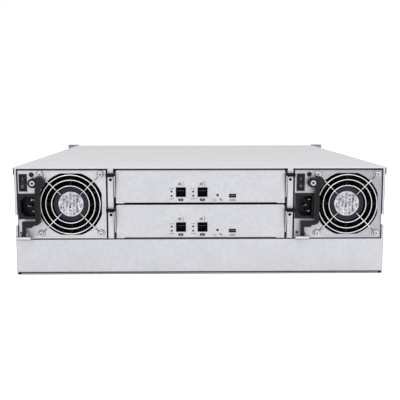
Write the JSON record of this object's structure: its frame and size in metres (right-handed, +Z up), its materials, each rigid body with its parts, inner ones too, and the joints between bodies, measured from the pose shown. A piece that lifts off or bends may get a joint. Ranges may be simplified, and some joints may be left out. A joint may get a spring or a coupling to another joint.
{
  "type": "disk shelf enclosure",
  "caption": "Rack-mount disk shelf with plug-in power modules, stacked controllers and latched front drive trays.",
  "frame": {"origin": "middle of the underside", "axes": "+Z up, +X to the right when looking at the rear panel, +Y from the rear panel towards the drive trays"},
  "size_m": [0.4826, 0.524, 0.1315],
  "materials": {
    "zinc_sheet": "spangled zinc",
    "bright_wire": "bright",
    "black_plastic": "matte",
    "fan_plastic": "matte",
    "circuit_board": "satin",
    "tray_metal": "satin",
    "tray_plastic": "matte"
  },
  "bodies": {
    "chassis": {"chassis_tub": "zinc_sheet", "top_cover": "zinc_sheet", "rack_ears": "zinc_sheet", "rear_bay_frame": "zinc_sheet", "drive_cage": "zinc_sheet", "midplane_board": "circuit_board"},
    "left_power_module": {"left_power_case": "zinc_sheet", "left_power_fan_frame": "fan_plastic", "left_power_finger_guard": "bright_wire", "left_power_power_entry": "black_plastic"},
    "left_power_fan_rotor": {"left_power_fan_rotor": "fan_plastic"},
    "left_power_switch_rocker": {"left_power_switch_rocker": "black_plastic"},
    "left_power_release_lever": {"left_power_release_lever": "black_plastic"},
    "right_power_module": {"right_power_case": "zinc_sheet", "right_power_fan_frame": "fan_plastic", "right_power_finger_guard": "bright_wire", "right_power_power_entry": "black_plastic"},
    "right_power_fan_rotor": {"right_power_fan_rotor": "fan_plastic"},
    "right_power_switch_rocker": {"right_power_switch_rocker": "black_plastic"},
    "right_power_release_lever": {"right_power_release_lever": "black_plastic"},
    "lower_controller": {"lower_controller_case": "zinc_sheet", "lower_controller_board": "circuit_board"},
    "lower_controller_left_ejector": {"lower_controller_left_ejector": "black_plastic"},
    "lower_controller_right_ejector": {"lower_controller_right_ejector": "black_plastic"},
    "upper_controller": {"upper_controller_case": "zinc_sheet", "upper_controller_board": "circuit_board"},
    "upper_controller_left_ejector": {"upper_controller_left_ejector": "black_plastic"},
    "upper_controller_right_ejector": {"upper_controller_right_ejector": "black_plastic"},
    "drive_tray_r1c1": {"drive_tray_r1c1": "tray_metal"},
    "tray_latch_r1c1": {"tray_latch_r1c1": "tray_plastic"},
    "drive_tray_r1c2": {"drive_tray_r1c2": "tray_metal"},
    "tray_latch_r1c2": {"tray_latch_r1c2": "tray_plastic"},
    "drive_tray_r1c3": {"drive_tray_r1c3": "tray_metal"},
    "tray_latch_r1c3": {"tray_latch_r1c3": "tray_plastic"},
    "drive_tray_r1c4": {"drive_tray_r1c4": "tray_metal"},
    "tray_latch_r1c4": {"tray_latch_r1c4": "tray_plastic"},
    "drive_tray_r2c1": {"drive_tray_r2c1": "tray_metal"},
    "tray_latch_r2c1": {"tray_latch_r2c1": "tray_plastic"},
    "drive_tray_r2c2": {"drive_tray_r2c2": "tray_metal"},
    "tray_latch_r2c2": {"tray_latch_r2c2": "tray_plastic"},
    "drive_tray_r2c3": {"drive_tray_r2c3": "tray_metal"},
    "tray_latch_r2c3": {"tray_latch_r2c3": "tray_plastic"},
    "drive_tray_r2c4": {"drive_tray_r2c4": "tray_metal"},
    "tray_latch_r2c4": {"tray_latch_r2c4": "tray_plastic"},
    "drive_tray_r3c1": {"drive_tray_r3c1": "tray_metal"},
    "tray_latch_r3c1": {"tray_latch_r3c1": "tray_plastic"},
    "drive_tray_r3c2": {"drive_tray_r3c2": "tray_metal"},
    "tray_latch_r3c2": {"tray_latch_r3c2": "tray_plastic"},
    "drive_tray_r3c3": {"drive_tray_r3c3": "tray_metal"},
    "tray_latch_r3c3": {"tray_latch_r3c3": "tray_plastic"},
    "drive_tray_r3c4": {"drive_tray_r3c4": "tray_metal"},
    "tray_latch_r3c4": {"tray_latch_r3c4": "tray_plastic"},
    "drive_tray_r4c1": {"drive_tray_r4c1": "tray_metal"},
    "tray_latch_r4c1": {"tray_latch_r4c1": "tray_plastic"},
    "drive_tray_r4c2": {"drive_tray_r4c2": "tray_metal"},
    "tray_latch_r4c2": {"tray_latch_r4c2": "tray_plastic"},
    "drive_tray_r4c3": {"drive_tray_r4c3": "tray_metal"},
    "tray_latch_r4c3": {"tray_latch_r4c3": "tray_plastic"},
    "drive_tray_r4c4": {"drive_tray_r4c4": "tray_metal"},
    "tray_latch_r4c4": {"tray_latch_r4c4": "tray_plastic"}
  },
  "joints": [
    {"name": "left_power_slide", "type": "slide", "parent": "chassis", "child": "left_power_module", "axis": [0, -1, 0], "range_m": [0, 0.33]},
    {"name": "left_power_fan_spin", "type": "hinge", "parent": "left_power_module", "child": "left_power_fan_rotor", "pos_m": [-0.155, -0.2434, 0.08575], "axis": [0, 1, 0], "continuous": true},
    {"name": "left_power_switch", "type": "hinge", "parent": "left_power_module", "child": "left_power_switch_rocker", "pos_m": [-0.2112, -0.2488, 0.1117], "axis": [1, 0, 0], "range_deg": [0, 14]},
    {"name": "left_power_lever_turn", "type": "hinge", "parent": "left_power_module", "child": "left_power_release_lever", "pos_m": [-0.2096, -0.2573, 0.0495], "axis": [1, 0, 0], "range_deg": [0, 60]},
    {"name": "right_power_slide", "type": "slide", "parent": "chassis", "child": "right_power_module", "axis": [0, -1, 0], "range_m": [0, 0.33]},
    {"name": "right_power_fan_spin", "type": "hinge", "parent": "right_power_module", "child": "right_power_fan_rotor", "pos_m": [0.176, -0.2434, 0.08575], "axis": [0, 1, 0], "continuous": true},
    {"name": "right_power_switch", "type": "hinge", "parent": "right_power_module", "child": "right_power_switch_rocker", "pos_m": [0.1198, -0.2488, 0.1117], "axis": [1, 0, 0], "range_deg": [0, 14]},
    {"name": "right_power_lever_turn", "type": "hinge", "parent": "right_power_module", "child": "right_power_release_lever", "pos_m": [0.1214, -0.2573, 0.0495], "axis": [1, 0, 0], "range_deg": [0, 60]},
    {"name": "lower_controller_slide", "type": "slide", "parent": "chassis", "child": "lower_controller", "axis": [0, -1, 0], "range_m": [0, 0.33]},
    {"name": "lower_controller_left_ejector_turn", "type": "hinge", "parent": "lower_controller", "child": "lower_controller_left_ejector", "pos_m": [-0.1022, -0.242, 0.0515], "axis": [1, 0, 0], "range_deg": [0, 55]},
    {"name": "lower_controller_right_ejector_turn", "type": "hinge", "parent": "lower_controller", "child": "lower_controller_right_ejector", "pos_m": [0.1022, -0.242, 0.0515], "axis": [1, 0, 0], "range_deg": [0, 55]},
    {"name": "upper_controller_slide", "type": "slide", "parent": "chassis", "child": "upper_controller", "axis": [0, -1, 0], "range_m": [0, 0.33]},
    {"name": "upper_controller_left_ejector_turn", "type": "hinge", "parent": "upper_controller", "child": "upper_controller_left_ejector", "pos_m": [-0.1022, -0.242, 0.0938], "axis": [1, 0, 0], "range_deg": [0, 55]},
    {"name": "upper_controller_right_ejector_turn", "type": "hinge", "parent": "upper_controller", "child": "upper_controller_right_ejector", "pos_m": [0.1022, -0.242, 0.0938], "axis": [1, 0, 0], "range_deg": [0, 55]},
    {"name": "tray_slide_r1c1", "type": "slide", "parent": "chassis", "child": "drive_tray_r1c1", "axis": [0, 1, 0], "range_m": [0, 0.16]},
    {"name": "latch_turn_r1c1", "type": "hinge", "parent": "drive_tray_r1c1", "child": "tray_latch_r1c1", "pos_m": [-0.11878, 0.2572, 0.01805], "axis": [0, 0, -1], "range_deg": [0, 70]},
    {"name": "tray_slide_r1c2", "type": "slide", "parent": "chassis", "child": "drive_tray_r1c2", "axis": [0, 1, 0], "range_m": [0, 0.16]},
    {"name": "latch_turn_r1c2", "type": "hinge", "parent": "drive_tray_r1c2", "child": "tray_latch_r1c2", "pos_m": [-0.00893, 0.2572, 0.01805], "axis": [0, 0, -1], "range_deg": [0, 70]},
    {"name": "tray_slide_r1c3", "type": "slide", "parent": "chassis", "child": "drive_tray_r1c3", "axis": [0, 1, 0], "range_m": [0, 0.16]},
    {"name": "latch_turn_r1c3", "type": "hinge", "parent": "drive_tray_r1c3", "child": "tray_latch_r1c3", "pos_m": [0.10093, 0.2572, 0.01805], "axis": [0, 0, -1], "range_deg": [0, 70]},
    {"name": "tray_slide_r1c4", "type": "slide", "parent": "chassis", "child": "drive_tray_r1c4", "axis": [0, 1, 0], "range_m": [0, 0.16]},
    {"name": "latch_turn_r1c4", "type": "hinge", "parent": "drive_tray_r1c4", "child": "tray_latch_r1c4", "pos_m": [0.21077, 0.2572, 0.01805], "axis": [0, 0, -1], "range_deg": [0, 70]},
    {"name": "tray_slide_r2c1", "type": "slide", "parent": "chassis", "child": "drive_tray_r2c1", "axis": [0, 1, 0], "range_m": [0, 0.16]},
    {"name": "latch_turn_r2c1", "type": "hinge", "parent": "drive_tray_r2c1", "child": "tray_latch_r2c1", "pos_m": [-0.11878, 0.2572, 0.04935], "axis": [0, 0, -1], "range_deg": [0, 70]},
    {"name": "tray_slide_r2c2", "type": "slide", "parent": "chassis", "child": "drive_tray_r2c2", "axis": [0, 1, 0], "range_m": [0, 0.16]},
    {"name": "latch_turn_r2c2", "type": "hinge", "parent": "drive_tray_r2c2", "child": "tray_latch_r2c2", "pos_m": [-0.00893, 0.2572, 0.04935], "axis": [0, 0, -1], "range_deg": [0, 70]},
    {"name": "tray_slide_r2c3", "type": "slide", "parent": "chassis", "child": "drive_tray_r2c3", "axis": [0, 1, 0], "range_m": [0, 0.16]},
    {"name": "latch_turn_r2c3", "type": "hinge", "parent": "drive_tray_r2c3", "child": "tray_latch_r2c3", "pos_m": [0.10093, 0.2572, 0.04935], "axis": [0, 0, -1], "range_deg": [0, 70]},
    {"name": "tray_slide_r2c4", "type": "slide", "parent": "chassis", "child": "drive_tray_r2c4", "axis": [0, 1, 0], "range_m": [0, 0.16]},
    {"name": "latch_turn_r2c4", "type": "hinge", "parent": "drive_tray_r2c4", "child": "tray_latch_r2c4", "pos_m": [0.21077, 0.2572, 0.04935], "axis": [0, 0, -1], "range_deg": [0, 70]},
    {"name": "tray_slide_r3c1", "type": "slide", "parent": "chassis", "child": "drive_tray_r3c1", "axis": [0, 1, 0], "range_m": [0, 0.16]},
    {"name": "latch_turn_r3c1", "type": "hinge", "parent": "drive_tray_r3c1", "child": "tray_latch_r3c1", "pos_m": [-0.11878, 0.2572, 0.08065], "axis": [0, 0, -1], "range_deg": [0, 70]},
    {"name": "tray_slide_r3c2", "type": "slide", "parent": "chassis", "child": "drive_tray_r3c2", "axis": [0, 1, 0], "range_m": [0, 0.16]},
    {"name": "latch_turn_r3c2", "type": "hinge", "parent": "drive_tray_r3c2", "child": "tray_latch_r3c2", "pos_m": [-0.00893, 0.2572, 0.08065], "axis": [0, 0, -1], "range_deg": [0, 70]},
    {"name": "tray_slide_r3c3", "type": "slide", "parent": "chassis", "child": "drive_tray_r3c3", "axis": [0, 1, 0], "range_m": [0, 0.16]},
    {"name": "latch_turn_r3c3", "type": "hinge", "parent": "drive_tray_r3c3", "child": "tray_latch_r3c3", "pos_m": [0.10093, 0.2572, 0.08065], "axis": [0, 0, -1], "range_deg": [0, 70]},
    {"name": "tray_slide_r3c4", "type": "slide", "parent": "chassis", "child": "drive_tray_r3c4", "axis": [0, 1, 0], "range_m": [0, 0.16]},
    {"name": "latch_turn_r3c4", "type": "hinge", "parent": "drive_tray_r3c4", "child": "tray_latch_r3c4", "pos_m": [0.21077, 0.2572, 0.08065], "axis": [0, 0, -1], "range_deg": [0, 70]},
    {"name": "tray_slide_r4c1", "type": "slide", "parent": "chassis", "child": "drive_tray_r4c1", "axis": [0, 1, 0], "range_m": [0, 0.16]},
    {"name": "latch_turn_r4c1", "type": "hinge", "parent": "drive_tray_r4c1", "child": "tray_latch_r4c1", "pos_m": [-0.11878, 0.2572, 0.11195], "axis": [0, 0, -1], "range_deg": [0, 70]},
    {"name": "tray_slide_r4c2", "type": "slide", "parent": "chassis", "child": "drive_tray_r4c2", "axis": [0, 1, 0], "range_m": [0, 0.16]},
    {"name": "latch_turn_r4c2", "type": "hinge", "parent": "drive_tray_r4c2", "child": "tray_latch_r4c2", "pos_m": [-0.00893, 0.2572, 0.11195], "axis": [0, 0, -1], "range_deg": [0, 70]},
    {"name": "tray_slide_r4c3", "type": "slide", "parent": "chassis", "child": "drive_tray_r4c3", "axis": [0, 1, 0], "range_m": [0, 0.16]},
    {"name": "latch_turn_r4c3", "type": "hinge", "parent": "drive_tray_r4c3", "child": "tray_latch_r4c3", "pos_m": [0.10093, 0.2572, 0.11195], "axis": [0, 0, -1], "range_deg": [0, 70]},
    {"name": "tray_slide_r4c4", "type": "slide", "parent": "chassis", "child": "drive_tray_r4c4", "axis": [0, 1, 0], "range_m": [0, 0.16]},
    {"name": "latch_turn_r4c4", "type": "hinge", "parent": "drive_tray_r4c4", "child": "tray_latch_r4c4", "pos_m": [0.21077, 0.2572, 0.11195], "axis": [0, 0, -1], "range_deg": [0, 70]}
  ]
}
